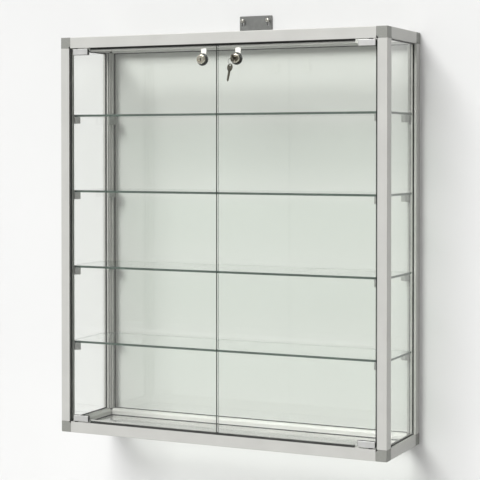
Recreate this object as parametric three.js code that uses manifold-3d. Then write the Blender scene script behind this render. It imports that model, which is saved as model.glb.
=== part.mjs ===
// Wall-mounted glass showcase. Square aluminium profiles and eight corner blocks make the frame;
// glass panels sit in the profile grooves, glass shelves lie on corner supports, and two glass
// doors turn on clamps with pivot pins. Each door has a cam lock; a wall bracket carries it all.
// Millimetres. +X is to the right, +Y goes into the wall and +Z is up. Everything is laid out from
// the cabinet's lower front left corner, and one group moves that to the origin: the middle of the
// bracket's back face, level with its two wall screws.
import * as THREE from "three";
import { mergeVertices } from "three/addons/utils/BufferGeometryUtils.js";
import Module from "manifold-3d";

const wasm = await Module();
wasm.setup();

// Cabinet
const WIDTH = 800;
const DEPTH = 215;
const HEIGHT = 915;
const CLEAR = 0.3; // between pieces that rest on or run beside each other
const OVERLAP = 1; // how far a joined piece runs into its neighbour, and a cutter past a face

// Frame profile: a square tube with up to two glazing grooves and a chamfered inner corner
const PROFILE = 25;
const OUTER_RADIUS = 1.2;
const INNER_CHAMFER = 5.5;
const GROOVE = { from: 5, to: 11.4, depth: 8 }; // from and to count from the outer face
const LINE_GROOVE = { from: 16.2, to: 18.8, depth: 3 };
const REBATE = { width: 3, depth: 9 }; // in the front uprights, beside the doors
const CHAMBER = { from: 2, to: 15 };
const SUPPORT_SLOT = { width: 3, depth: 3 };
const SPIGOT_LENGTH = 22;

// Fixed glass
const PANEL_GLASS = 4;
const PANEL_INSET = (GROOVE.from + GROOVE.to - PANEL_GLASS) / 2; // outer face of a panel
const PANEL_EDGE = PROFILE - GROOVE.depth + 2; // how far in a panel's edge lies
const PANEL_CORNER_CUT = 7;

// Shelves and their supports
const SHELF = { thickness: 5, fromSide: 12.5, fromFront: 26, corner: 2 };
const SHELF_UNDERSIDES = [205.5, 381, 556.5, 732];
const SUPPORT = { width: 18, reach: 14, height: 15.5, round: 2.5, rib: 2.4 };

// Doors
const DOOR = { thickness: 5, front: 1.5, endGap: 4.7, corner: 1.5 };
const DOOR_GAP = { left: 6.2, right: 0.8 }; // between each door and its upright
const MEETING_X = 402.6; // where the two doors meet
const MEETING_GAP = 4.4;
const STOP_LIP = { from: 9, to: 11, endCut: 50, topHeight: 8.2, bottomHeight: 7 };

// Door clamps with pivot pins
const CLAMP = { length: 38, height: 13.4, front: -1.2, back: 10.3, web: 2, round: 0.6 };
const CLAMP_GAP = { left: 9, right: 1.5 }; // between a clamp and its upright
const PIN = { radius: 2.5, fromUpright: 12.5, reach: 7, holeDepth: 6.5, holeRadius: 2.8 };

// Cam locks
const LOCK_Z = HEIGHT - 59.6;
const LOCK_X = { left: 365.5, right: 449.5 };
const HEAD = { radius: 10, front: -6.5, bevel: 0.9 };
const BARREL = { radius: 9.2, back: 11.3, glassHole: 9.5 };
const NUT = { radius: 13.6, thickness: 3 };
const PLUG = { radius: 6, bore: 6.3, sunk: 0.5 };
const CAM = { front: 12, thickness: 2.2, hub: 8, width: 12.5, reach: 25.7 };
const CAM_SCREW = { radius: 4, height: 2 };
const KEYWAY = { width: 2.4, height: 6.8, depth: 17.2 };

// Keys: one in the right lock, one hanging from it on a ring
const KEY = { thickness: 1.8, bladeHeight: 6.2, neck: 2.4, bow: 8.5, hole: 2.6, holeOut: 5, standOff: 0.6 };
const BLADE = { inLock: 17, spare: 20, cutFor: 13 };
const KEY_CUTS = [[2.5, 0.5], [5, 0.9], [8, 0.4], [11, 0.8]]; // back from the tip, and deep
const SPARE_TWIST = THREE.MathUtils.degToRad(-15); // about the vertical, as it hangs
const RING = { radius: 6.5, wire: 0.7, slack: 0.8, bite: 0.1, tilt: THREE.MathUtils.degToRad(10) };

// Wall bracket and screws
const BRACKET = { width: 82, rise: 52.5, thickness: 3, leg: 24, corner: 1.5 };
const WALL_SCREW = { spacing: 64, fromTop: 11, shank: 2.4, head: 4.8, headHeight: 3.5, proud: 8 };
const SCREW_DOME = [[1, 0.35], [0.85, 0.75], [0.45, 1]]; // shares of the head's radius and height
const SCREW_RECESS = { radius: 0.36, depth: 0.5 }; // likewise
const BRACKET_SLOT = { radius: 2.9, length: 9 };

const ARC_STEPS = 3;
const KEY_STEPS = 12;
const ROUND_SIDES = 32;
const SMALL_SIDES = 20;

const MATERIALS = {
  profile: new THREE.MeshStandardMaterial({ color: 0xd8d8d4, roughness: 0.38, metalness: 0.9 }),
  corner: new THREE.MeshStandardMaterial({ color: 0x8f918d, roughness: 0.5, metalness: 0.6 }),
  panel: new THREE.MeshStandardMaterial({ color: 0xd3ded6, roughness: 0.04, metalness: 0 }),
  shelf: new THREE.MeshStandardMaterial({ color: 0xb9cdc0, roughness: 0.04, metalness: 0 }),
  door: new THREE.MeshStandardMaterial({ color: 0xdbe6de, roughness: 0.04, metalness: 0 }),
  support: new THREE.MeshStandardMaterial({ color: 0x8b8c86, roughness: 0.55, metalness: 0.2 }),
  clamp: new THREE.MeshStandardMaterial({ color: 0xcfd0cf, roughness: 0.3, metalness: 0.95 }),
  nickel: new THREE.MeshStandardMaterial({ color: 0xc9c4b4, roughness: 0.2, metalness: 1 }),
  key: new THREE.MeshStandardMaterial({ color: 0x8d8878, roughness: 0.3, metalness: 1 }),
  bracket: new THREE.MeshStandardMaterial({ color: 0x81827d, roughness: 0.55, metalness: 0.7 }),
  screw: new THREE.MeshStandardMaterial({ color: 0xb9b8b0, roughness: 0.35, metalness: 1 }),
};

const showcase = new THREE.Group();
const screwLine = HEIGHT + BRACKET.rise - WALL_SCREW.fromTop;
showcase.position.set(-WIDTH / 2, -DEPTH, -screwLine);

function add(name, geometry, material) {
  const mesh = new THREE.Mesh(geometry, material);
  mesh.name = name;
  showcase.add(mesh);
  return mesh;
}

// ---- solids -------------------------------------------------------------------------------------

function toSolid(geometry) {
  const bare = geometry.clone();
  bare.deleteAttribute("normal");
  bare.deleteAttribute("uv");
  const merged = mergeVertices(bare, 1e-4);
  return new wasm.Manifold(new wasm.Mesh({
    numProp: 3,
    vertProperties: new Float32Array(merged.attributes.position.array),
    triVerts: new Uint32Array(merged.index.array),
  }));
}

function toGeometry(solid) {
  const { vertProperties, triVerts } = solid.getMesh();
  const geometry = new THREE.BufferGeometry();
  geometry.setAttribute("position", new THREE.BufferAttribute(new Float32Array(vertProperties), 3));
  geometry.setIndex(new THREE.BufferAttribute(new Uint32Array(triVerts), 1));
  geometry.computeVertexNormals();
  return geometry;
}

function join(...geometries) {
  return toGeometry(geometries.map(toSolid).reduce((all, next) => all.add(next)));
}

function cut(geometry, ...cutters) {
  return toGeometry(cutters.map(toSolid).reduce((left, next) => left.subtract(next), toSolid(geometry)));
}

function common(...geometries) {
  return toGeometry(geometries.map(toSolid).reduce((all, next) => all.intersect(next)));
}

function box([x0, x1], [y0, y1], [z0, z1]) {
  const sorted = new THREE.BoxGeometry(Math.abs(x1 - x0), Math.abs(y1 - y0), Math.abs(z1 - z0));
  return sorted.translate((x0 + x1) / 2, (y0 + y1) / 2, (z0 + z1) / 2);
}

// A shape drawn in the two other axes, in cyclic order, and pushed along one axis:
// along x it is drawn in (y, z), along y in (z, x) and along z in (x, y).
const X = new THREE.Vector3(1, 0, 0);
const Y = new THREE.Vector3(0, 1, 0);
const Z = new THREE.Vector3(0, 0, 1);
const TURNS = {
  x: new THREE.Matrix4().makeBasis(Y, Z, X),
  y: new THREE.Matrix4().makeBasis(Z, X, Y),
  z: new THREE.Matrix4(),
};

function extrude(shape, axis, from, to, steps = ARC_STEPS) {
  const options = { depth: to - from, bevelEnabled: false, curveSegments: steps };
  const geometry = new THREE.ExtrudeGeometry(shape, options);
  return geometry.translate(0, 0, from).applyMatrix4(TURNS[axis]);
}

function rectangle([a0, a1], [b0, b1]) {
  return polygon([[a0, b0], [a1, b0], [a1, b1], [a0, b1]]);
}

function polygon(points) {
  return new THREE.Shape(points.map(([a, b]) => new THREE.Vector2(a, b)));
}

function roundedRectangle([a0, a1], [b0, b1], radius) {
  const shape = new THREE.Shape();
  shape.absarc(a0 + radius, b0 + radius, radius, Math.PI, 1.5 * Math.PI);
  shape.absarc(a1 - radius, b0 + radius, radius, 1.5 * Math.PI, 2 * Math.PI);
  shape.absarc(a1 - radius, b1 - radius, radius, 0, 0.5 * Math.PI);
  shape.absarc(a0 + radius, b1 - radius, radius, 0.5 * Math.PI, Math.PI);
  return shape;
}

function circlePath(a, b, radius) {
  return new THREE.Path().absarc(a, b, radius, 0, 2 * Math.PI);
}

function rodAlongZ(x, y, [z0, z1], radius) {
  const rod = new THREE.CylinderGeometry(radius, radius, z1 - z0, SMALL_SIDES);
  return rod.rotateX(Math.PI / 2).translate(x, y, (z0 + z1) / 2);
}

function rodAlongY(x, z, [y0, y1], radius, sides = ROUND_SIDES) {
  return new THREE.CylinderGeometry(radius, radius, y1 - y0, sides).translate(x, (y0 + y1) / 2, z);
}

// ---- frame --------------------------------------------------------------------------------------

// The profile's outline in (u, v), its distances from the two outer faces. Groove A opens on the
// face v = PROFILE, groove B on the face u = PROFILE.
function profileOutline({ grooveA, grooveB, lineA, lineB, slot, rebate }) {
  const side = PROFILE;
  const chamfer = side - INNER_CHAMFER;
  const shape = new THREE.Shape();
  shape.absarc(OUTER_RADIUS, OUTER_RADIUS, OUTER_RADIUS, Math.PI, 1.5 * Math.PI);
  if (rebate) {
    shape.lineTo(side - REBATE.width, 0);
    shape.lineTo(side - REBATE.width, REBATE.depth);
    shape.lineTo(side, REBATE.depth);
  } else {
    shape.lineTo(side, 0);
  }
  const notchB = ({ from, to, depth }) => {
    shape.lineTo(side, from);
    shape.lineTo(side - depth, from);
    shape.lineTo(side - depth, to);
    shape.lineTo(side, to);
  };
  if (grooveB) notchB(GROOVE);
  if (lineB) notchB(LINE_GROOVE);
  shape.lineTo(side, chamfer);
  if (slot) cutSlot(shape, side, chamfer);
  shape.lineTo(chamfer, side);
  const notchA = ({ from, to, depth }) => {
    shape.lineTo(to, side);
    shape.lineTo(to, side - depth);
    shape.lineTo(from, side - depth);
    shape.lineTo(from, side);
  };
  if (lineA) notchA(LINE_GROOVE);
  if (grooveA) notchA(GROOVE);
  shape.lineTo(0, side);
  return shape;
}

// A slot in the middle of the chamfer, square to it, for the shelf supports.
function cutSlot(shape, side, chamfer) {
  const middle = (side + chamfer) / 2;
  const half = SUPPORT_SLOT.width / 2 * Math.SQRT1_2;
  const deep = SUPPORT_SLOT.depth * Math.SQRT1_2;
  shape.lineTo(middle + half, middle - half);
  shape.lineTo(middle + half - deep, middle - half - deep);
  shape.lineTo(middle - half - deep, middle + half - deep);
  shape.lineTo(middle - half, middle + half);
}

function counterClockwise(points) {
  return THREE.ShapeUtils.isClockWise(points) ? points.reverse() : points;
}

function profileShape(options, place) {
  const put = (points) => counterClockwise(points.map((p) => new THREE.Vector2(...place(p.x, p.y))));
  const shape = new THREE.Shape(put(profileOutline(options).getPoints(ARC_STEPS)));
  if (options.hollow) {
    const bore = rectangle([CHAMBER.from, CHAMBER.to], [CHAMBER.from, CHAMBER.to]);
    shape.holes.push(new THREE.Path(put(bore.getPoints())));
  }
  return shape;
}

const SIDES = ["left", "right"];
const FACES = ["front", "rear"];
const ENDS = ["bottom", "top"];
const inX = (side, distance) => (side === "left" ? distance : WIDTH - distance);
const inY = (face, distance) => (face === "front" ? distance : DEPTH - distance);
const inZ = (end, distance) => (end === "bottom" ? distance : HEIGHT - distance);
const BAR_START = PROFILE + CLEAR;

function addUprights() {
  for (const side of SIDES) {
    for (const face of FACES) {
      const front = face === "front";
      const cuts = { grooveA: true, grooveB: !front, rebate: front, lineA: true, slot: true };
      const options = { ...cuts, hollow: true };
      const shape = profileShape(options, (u, v) => [inX(side, u), inY(face, v)]);
      const bar = extrude(shape, "z", BAR_START, HEIGHT - BAR_START);
      add(`upright_${face}_${side}`, bar, MATERIALS.profile);
    }
  }
}

function addDepthRails() {
  for (const side of SIDES) {
    for (const end of ENDS) {
      const options = { grooveA: true, grooveB: true, lineB: true, hollow: true };
      const shape = profileShape(options, (u, v) => [inZ(end, u), inX(side, v)]);
      const bar = extrude(shape, "y", BAR_START, DEPTH - BAR_START);
      add(`rail_${end}_${side}`, bar, MATERIALS.profile);
    }
  }
}

function addLongRails() {
  for (const end of ENDS) {
    const rear = profileShape({ grooveA: true, grooveB: true, hollow: true },
      (u, v) => [inY("rear", v), inZ(end, u)]);
    add(`rail_${end}_rear`, extrude(rear, "x", BAR_START, WIDTH - BAR_START), MATERIALS.profile);

    const front = profileShape({ grooveA: true, hollow: true }, (u, v) => [inY("front", v), inZ(end, u)]);
    const bar = extrude(front, "x", BAR_START, WIDTH - BAR_START);
    const lipHeight = end === "top" ? STOP_LIP.topHeight : STOP_LIP.bottomHeight;
    const lipEnd = PROFILE + STOP_LIP.endCut;
    const lip = box([lipEnd, WIDTH - lipEnd], [STOP_LIP.from, STOP_LIP.to],
      [inZ(end, PROFILE - OVERLAP), inZ(end, PROFILE + lipHeight)]);
    const holes = SIDES.map((side) => {
      const reach = [inZ(end, PROFILE + OVERLAP), inZ(end, PROFILE - PIN.holeDepth)].sort((a, b) => a - b);
      return rodAlongZ(pinX(side), PIN_Y, reach, PIN.holeRadius);
    });
    add(`rail_${end}_front`, cut(join(bar, lip), ...holes), MATERIALS.profile);
  }
}

// A corner block is a cube with the profile's edges, and three square spigots inside the profiles.
function addCornerBlocks() {
  const span = [0, PROFILE];
  const spigotEnd = PROFILE + SPIGOT_LENGTH;
  const thick = [CHAMBER.from + CLEAR, CHAMBER.to - CLEAR];
  for (const side of SIDES) {
    for (const face of FACES) {
      for (const end of ENDS) {
        const at = (put, range) => range.map((d) => put(d));
        const x = (d) => inX(side, d);
        const y = (d) => inY(face, d);
        const z = (d) => inZ(end, d);
        const prism = (axis, place, put) => {
          const [from, to] = at(put, span).sort((a, b) => a - b);
          return extrude(profileShape({}, place), axis, from, to);
        };
        const cube = common(
          prism("x", (u, v) => [y(u), z(v)], x),
          prism("y", (u, v) => [z(u), x(v)], y),
          prism("z", (u, v) => [x(u), y(v)], z),
        );
        const long = [PROFILE - OVERLAP, spigotEnd];
        const spigots = [
          box(at(x, long), at(y, thick), at(z, thick)),
          box(at(x, thick), at(y, long), at(z, thick)),
          box(at(x, thick), at(y, thick), at(z, long)),
        ];
        add(`corner_block_${end}_${face}_${side}`, join(cube, ...spigots), MATERIALS.corner);
      }
    }
  }
}

// ---- fixed glass --------------------------------------------------------------------------------

function panelShape([a0, a1], [b0, b1], corner) {
  return polygon([
    [a0 + corner, b0], [a1 - corner, b0], [a1, b0 + corner], [a1, b1 - corner],
    [a1 - corner, b1], [a0 + corner, b1], [a0, b1 - corner], [a0, b0 + corner],
  ]);
}

function addPanels() {
  const across = [PANEL_EDGE, WIDTH - PANEL_EDGE];
  const deep = [PANEL_EDGE, DEPTH - PANEL_EDGE];
  const tall = [PANEL_EDGE, HEIGHT - PANEL_EDGE];
  const near = [PANEL_INSET, PANEL_INSET + PANEL_GLASS];
  const far = (size) => [size - PANEL_INSET - PANEL_GLASS, size - PANEL_INSET];
  const side = panelShape(deep, tall, PANEL_CORNER_CUT);
  const flat = panelShape(across, deep, PANEL_CORNER_CUT);
  const back = panelShape(tall, across, PANEL_CORNER_CUT);
  add("glass_side_left", extrude(side, "x", ...near), MATERIALS.panel);
  add("glass_side_right", extrude(side, "x", ...far(WIDTH)), MATERIALS.panel);
  add("glass_back", extrude(back, "y", ...far(DEPTH)), MATERIALS.panel);
  add("glass_floor", extrude(flat, "z", ...near), MATERIALS.panel);
  add("glass_top", extrude(flat, "z", ...far(HEIGHT)), MATERIALS.panel);
}

function addShelves() {
  const across = [SHELF.fromSide, WIDTH - SHELF.fromSide];
  const deep = [SHELF.fromFront, DEPTH - SHELF.fromFront];
  const shape = roundedRectangle(across, deep, SHELF.corner);
  SHELF_UNDERSIDES.forEach((underside, index) => {
    const name = `shelf_${index + 1}`;
    add(name, extrude(shape, "z", underside, underside + SHELF.thickness), MATERIALS.shelf);
    addShelfSupports(name, underside - CLEAR);
  });
}

// A support stands on the chamfer of its upright and points at the cabinet's middle. It is drawn
// with its reach along +x and turned by 45 degrees into its corner.
function addShelfSupports(shelf, top) {
  const half = SUPPORT.width / 2;
  const block = roundedRectangle([CLEAR, SUPPORT.reach], [-half, half], SUPPORT.round);
  const ribSpan = [2 * CLEAR - SUPPORT_SLOT.depth, CLEAR + OVERLAP];
  const rib = rectangle(ribSpan, [-SUPPORT.rib / 2, SUPPORT.rib / 2]);
  const solid = join(extrude(block, "z", -SUPPORT.height, 0), extrude(rib, "z", -SUPPORT.height, 0));
  const toChamfer = PROFILE - INNER_CHAMFER / 2;
  for (const side of SIDES) {
    for (const face of FACES) {
      const support = add(`${shelf}_support_${face}_${side}`, solid, MATERIALS.support);
      support.position.set(inX(side, toChamfer), inY(face, toChamfer), top);
      const inward = new THREE.Vector2(side === "left" ? 1 : -1, face === "front" ? 1 : -1);
      support.rotation.z = inward.angle();
    }
  }
}

// ---- doors --------------------------------------------------------------------------------------

const PIN_Y = DOOR.front + DOOR.thickness / 2;

function pinX(side) {
  return inX(side, PROFILE + PIN.fromUpright);
}

function doorSpan(side) {
  const outer = inX(side, PROFILE + DOOR_GAP[side]);
  const inner = MEETING_X + (side === "left" ? -1 : 1) * MEETING_GAP / 2;
  return [outer, inner].sort((a, b) => a - b);
}

function addDoorGlass(side) {
  const tall = [PROFILE + DOOR.endGap, HEIGHT - PROFILE - DOOR.endGap];
  const shape = roundedRectangle(tall, doorSpan(side), DOOR.corner);
  const pane = extrude(shape, "y", DOOR.front, DOOR.front + DOOR.thickness);
  const through = [DOOR.front - OVERLAP, DOOR.front + DOOR.thickness + OVERLAP];
  const hole = rodAlongY(LOCK_X[side], LOCK_Z, through, BARREL.glassHole);
  add(`door_glass_${side}`, cut(pane, hole), MATERIALS.door);
}

// The clamp is a U over the edge of the glass, with its pivot pin standing up into the rail.
function addDoorClamp(side, end) {
  const edge = PROFILE + DOOR.endGap;
  const outside = inZ(end, edge - CLEAR - CLAMP.web);
  const inside = inZ(end, edge - CLEAR - CLAMP.web + CLAMP.height);
  const z = [outside, inside].sort((a, b) => a - b);
  const from = PROFILE + CLAMP_GAP[side];
  const x = [inX(side, from), inX(side, from + CLAMP.length)].sort((a, b) => a - b);
  const body = extrude(roundedRectangle([CLAMP.front, CLAMP.back], z, CLAMP.round), "x", ...x);
  const mouth = box([x[0] - OVERLAP, x[1] + OVERLAP],
    [DOOR.front - CLEAR, DOOR.front + DOOR.thickness + CLEAR],
    [inZ(end, edge - CLEAR), inZ(end, edge + CLAMP.height + OVERLAP)]);
  const pinEnds = [inZ(end, edge - CLEAR - OVERLAP), inZ(end, edge - CLEAR - CLAMP.web - PIN.reach)];
  const pin = rodAlongZ(pinX(side), PIN_Y, pinEnds.sort((a, b) => a - b), PIN.radius);
  add(`door_clamp_${end}_${side}`, join(cut(body, mouth), pin), MATERIALS.clamp);
}

// ---- locks and keys -----------------------------------------------------------------------------

function turned(points, steps) {
  return new THREE.LatheGeometry(points.map(([r, y]) => new THREE.Vector2(r, y)), steps);
}

// Head in front of the glass, threaded barrel through it, and the nut that holds it from behind.
function addLockBody(side) {
  const shoulder = DOOR.front - CLEAR;
  const body = turned([
    [PLUG.bore, HEAD.front], [HEAD.radius - HEAD.bevel, HEAD.front], [HEAD.radius, HEAD.front + HEAD.bevel],
    [HEAD.radius, shoulder], [BARREL.radius, shoulder], [BARREL.radius, BARREL.back],
    [PLUG.bore, BARREL.back], [PLUG.bore, HEAD.front],
  ], ROUND_SIDES);
  const nutFront = DOOR.front + DOOR.thickness + CLEAR;
  const nut = rodAlongY(0, 0, [nutFront, nutFront + NUT.thickness], NUT.radius, 6);
  const nutSpan = [nutFront - OVERLAP, nutFront + NUT.thickness + OVERLAP];
  const nutHole = rodAlongY(0, 0, nutSpan, BARREL.radius - OVERLAP);
  const lock = add(`lock_body_${side}`, join(body, cut(nut, nutHole)), MATERIALS.nickel);
  lock.position.set(LOCK_X[side], 0, LOCK_Z);
}

// The cam's end is an arc about the lock's axis, so it keeps its distance from the rail as it turns.
function camShape() {
  const half = CAM.width / 2;
  const shape = new THREE.Shape();
  const neck = Math.asin(half / CAM.hub);
  const end = Math.asin(half / CAM.reach);
  shape.absarc(0, 0, CAM.hub, neck, 2 * Math.PI - neck);
  shape.absarc(0, 0, CAM.reach, -end, end);
  return shape;
}

function addLockPlug(side) {
  const face = HEAD.front + PLUG.sunk;
  const plug = rodAlongY(0, 0, [face, CAM.front + CAM.thickness / 2], PLUG.radius);
  const cam = extrude(camShape(), "y", CAM.front, CAM.front + CAM.thickness);
  const camBack = CAM.front + CAM.thickness;
  const screw = rodAlongY(0, 0, [camBack - OVERLAP, camBack + CAM_SCREW.height], CAM_SCREW.radius, 6);
  const half = { x: KEYWAY.width / 2, z: KEYWAY.height / 2 };
  const keyway = box([-half.x, half.x], [face - OVERLAP, face + KEYWAY.depth], [-half.z, half.z]);
  const mesh = add(`lock_plug_${side}`, cut(join(plug, cam, screw), keyway), MATERIALS.nickel);
  mesh.position.set(LOCK_X[side], 0, LOCK_Z);
}

// A flat key in the plane x = 0, with its shoulder at the origin and its blade along +y.
function keyGeometry(bladeLength) {
  const half = KEY.bladeHeight / 2;
  const bowCentre = -KEY.neck - KEY.bow;
  const neckY = bowCentre + Math.sqrt(KEY.bow ** 2 - half ** 2);
  const neckAngle = Math.asin(half / KEY.bow);
  const outline = new THREE.Shape();
  outline.moveTo(neckY, half);
  outline.absarc(bowCentre, 0, KEY.bow, neckAngle, 2 * Math.PI - neckAngle);
  outline.lineTo(bladeLength - half, -half);
  outline.lineTo(bladeLength, 0);
  for (const [back, depth] of KEY_CUTS) outline.lineTo(bladeLength - back, half - depth);
  outline.lineTo(bladeLength - BLADE.cutFor, half);
  outline.holes.push(circlePath(bowCentre - KEY.holeOut, 0, KEY.hole));
  return extrude(outline, "x", -KEY.thickness / 2, KEY.thickness / 2, KEY_STEPS);
}

function addKeys() {
  const shoulder = HEAD.front - KEY.standOff;
  const key = add("lock_key", keyGeometry(BLADE.inLock), MATERIALS.key);
  key.position.set(LOCK_X.right, shoulder, LOCK_Z);

  // The ring hangs in the hole of the first key's bow, and carries the spare key below it.
  const holeFromShoulder = KEY.neck + KEY.bow + KEY.holeOut;
  const drop = KEY.hole - RING.wire - RING.slack;
  const ring = new THREE.TorusGeometry(RING.radius, RING.wire, 8, SMALL_SIDES)
    .rotateX(Math.PI / 2)
    .translate(0, 0, -RING.radius);
  const grip = KEY.hole - RING.wire + RING.bite;
  const spare = keyGeometry(BLADE.spare)
    .translate(0, holeFromShoulder, 0)
    .rotateX(-Math.PI / 2)
    .rotateZ(SPARE_TWIST)
    .translate(0, 0, -2 * RING.radius - grip);
  const mesh = add("spare_key_on_ring", join(ring, spare), MATERIALS.key);
  mesh.position.set(LOCK_X.right, shoulder - holeFromShoulder, LOCK_Z - drop);
  mesh.rotation.y = RING.tilt;
}

// ---- wall bracket -------------------------------------------------------------------------------

function addBracket() {
  const half = BRACKET.width / 2;
  const middle = WIDTH / 2;
  const foot = HEIGHT + CLEAR;
  const across = [middle - half, middle + half];
  const plate = roundedRectangle([foot, HEIGHT + BRACKET.rise], across, BRACKET.corner);
  for (const hand of [-1, 1]) {
    const x = middle + hand * WALL_SCREW.spacing / 2;
    const slot = new THREE.Path();
    slot.absarc(screwLine, x, BRACKET_SLOT.radius, -Math.PI / 2, Math.PI / 2);
    slot.absarc(screwLine - BRACKET_SLOT.length, x, BRACKET_SLOT.radius, Math.PI / 2, 1.5 * Math.PI);
    plate.holes.push(slot);
  }
  const upright = extrude(plate, "y", DEPTH - BRACKET.thickness, DEPTH);
  const leg = box(across, [DEPTH - BRACKET.leg, DEPTH], [foot, foot + BRACKET.thickness]);
  add("wall_bracket", join(upright, leg), MATERIALS.bracket);
}

// A screw is shown up to the wall's face: shank through the slot and a domed head in front.
function addWallScrew(side) {
  const hand = side === "left" ? -1 : 1;
  const { shank, head, headHeight, proud } = WALL_SCREW;
  const under = DEPTH - proud;
  const crown = under - headHeight;
  const dome = SCREW_DOME.map(([wide, high]) => [head * wide, under - headHeight * high]);
  const profile = [[0, DEPTH], [shank, DEPTH], [shank, under], [head, under], ...dome, [0, crown]];
  const solid = turned(profile.reverse(), SMALL_SIDES);
  const recessSpan = [crown - OVERLAP, crown + headHeight * SCREW_RECESS.depth];
  const recess = rodAlongY(0, 0, recessSpan, head * SCREW_RECESS.radius, 6);
  const screw = add(`wall_screw_${side}`, cut(solid, recess), MATERIALS.screw);
  screw.position.set(WIDTH / 2 + hand * WALL_SCREW.spacing / 2, 0, screwLine);
}

addUprights();
addDepthRails();
addLongRails();
addCornerBlocks();
addPanels();
addShelves();
for (const side of SIDES) {
  addDoorGlass(side);
  ENDS.forEach((end) => addDoorClamp(side, end));
  addLockBody(side);
  addLockPlug(side);
}
addKeys();
addBracket();
SIDES.forEach(addWallScrew);

export default showcase;
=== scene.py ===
import math

import bmesh
import bpy
from mathutils import Matrix, Vector


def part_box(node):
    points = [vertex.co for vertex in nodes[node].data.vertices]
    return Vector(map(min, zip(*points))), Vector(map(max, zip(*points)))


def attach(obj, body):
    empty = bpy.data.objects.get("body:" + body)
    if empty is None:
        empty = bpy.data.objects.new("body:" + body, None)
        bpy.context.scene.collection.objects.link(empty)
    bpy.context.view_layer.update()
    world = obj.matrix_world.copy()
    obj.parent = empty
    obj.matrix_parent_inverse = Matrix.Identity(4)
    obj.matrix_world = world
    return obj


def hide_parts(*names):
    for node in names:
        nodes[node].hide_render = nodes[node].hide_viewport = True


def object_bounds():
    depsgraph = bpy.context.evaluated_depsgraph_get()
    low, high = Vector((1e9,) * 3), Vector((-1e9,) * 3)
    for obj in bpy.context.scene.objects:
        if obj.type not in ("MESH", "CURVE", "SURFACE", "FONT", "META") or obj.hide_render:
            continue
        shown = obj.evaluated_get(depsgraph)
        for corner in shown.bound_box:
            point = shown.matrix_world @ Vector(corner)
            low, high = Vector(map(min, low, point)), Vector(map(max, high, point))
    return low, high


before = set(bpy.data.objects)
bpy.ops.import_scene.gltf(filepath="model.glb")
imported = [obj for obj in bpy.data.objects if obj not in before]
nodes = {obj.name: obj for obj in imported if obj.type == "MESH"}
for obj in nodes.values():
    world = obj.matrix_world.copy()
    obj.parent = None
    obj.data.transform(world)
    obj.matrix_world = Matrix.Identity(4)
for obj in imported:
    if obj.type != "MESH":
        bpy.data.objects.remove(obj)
cad_low, cad_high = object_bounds()

# A wall-mounted glass showcase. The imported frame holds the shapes; this script gives them their
# materials and adds the rubber, the fine lock and key parts, the screws and the light.
# Sizes are millimetres, counted from the cabinet's lower front left corner, and at() turns them
# into the frame's metres.

MM = 0.001
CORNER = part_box("corner_block_bottom_front_left")[0]
WIDTH, DEPTH, HEIGHT = (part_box("corner_block_top_rear_right")[1] - CORNER) / MM

SIDES = ("left", "right")
ENDS = ("bottom", "top")
FACES = ("front", "rear")
SHELVES = range(1, 5)

CLEAR = 0.3  # between two CAD pieces
TOUCH = 0.02  # between a piece made here and the face that it lies on


def at(x, y, z):
    return CORNER + Vector((x, y, z)) * MM


def to_frame(matrix=Matrix.Identity(4)):
    """A matrix in cabinet millimetres, as one that takes them to the frame's metres."""
    return Matrix.Translation(CORNER) @ Matrix.Scale(MM, 4) @ matrix


def extent(node):
    """A CAD node's lowest and highest corners, in cabinet millimetres."""
    low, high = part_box(node)
    return (low - CORNER) / MM, (high - CORNER) / MM


def in_x(side, distance):
    return distance if side == "left" else WIDTH - distance


def in_z(end, distance):
    return distance if end == "bottom" else HEIGHT - distance


# Frame and glass
PROFILE = extent("upright_front_left")[1].x
GROOVE = (5.0, 11.4)
REBATE_WIDTH = 3.0
DOOR_FRONT = extent("door_glass_left")[0].y
DOOR_BACK = extent("door_glass_left")[1].y
FRONT_PAD = (DOOR_FRONT - CLEAR + TOUCH, DOOR_FRONT - TOUCH)
BACK_PAD = (DOOR_BACK + TOUCH, DOOR_BACK + CLEAR - TOUCH)
LIP_ENDS = (75.0, WIDTH - 75.0)

# Locks and keys
LOCK_CENTRE = {side: sum(extent(f"lock_body_{side}"), Vector()) / 2 for side in SIDES}
HEAD_FRONT = -6.5
HEAD_RADIUS = 10.0
PLUG_RADIUS = 5.95
KEYWAY = (2.4, 6.8)
KEYWAY_DEPTH = 16.6
NUT_FRONT = DOOR_BACK + CLEAR
NUT_THICKNESS = 3.0
BARREL_RADIUS = 9.2
NUT_RADIUS = 13.6
CAM_FRONT = 12.0
CAM_THICKNESS = 2.2
CAM_HUB = 8.0
CAM_WIDTH = 12.5
CAM_REACH = 25.7
KEY_SHOULDER = HEAD_FRONT - 0.6
KEY_THICKNESS = 1.8
KEY_HALF_BLADE = 3.1
KEY_NECK = 2.4
KEY_BOW = 8.5
KEY_HOLE = 2.6
KEY_HOLE_OUT = 5.0
RING_RADIUS = 6.5
RING_WIRE = 0.7
RING_DROP = 1.1
RING_TILT = math.radians(10)
SPARE_TWIST = math.radians(-15)
IN_LOCK_BLADE = 17.0
SPARE_BLADE = 20.0


# ---- camera -------------------------------------------------------------------------------------

CAMERA_PLACE = (1.4288, -3.1089, -0.3003)
CAMERA_YAW = math.radians(25.32)
CAMERA_PITCH = math.radians(-0.97)
CAMERA_LENS = 109.75
CAMERA_SHIFT = -0.137


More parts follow.
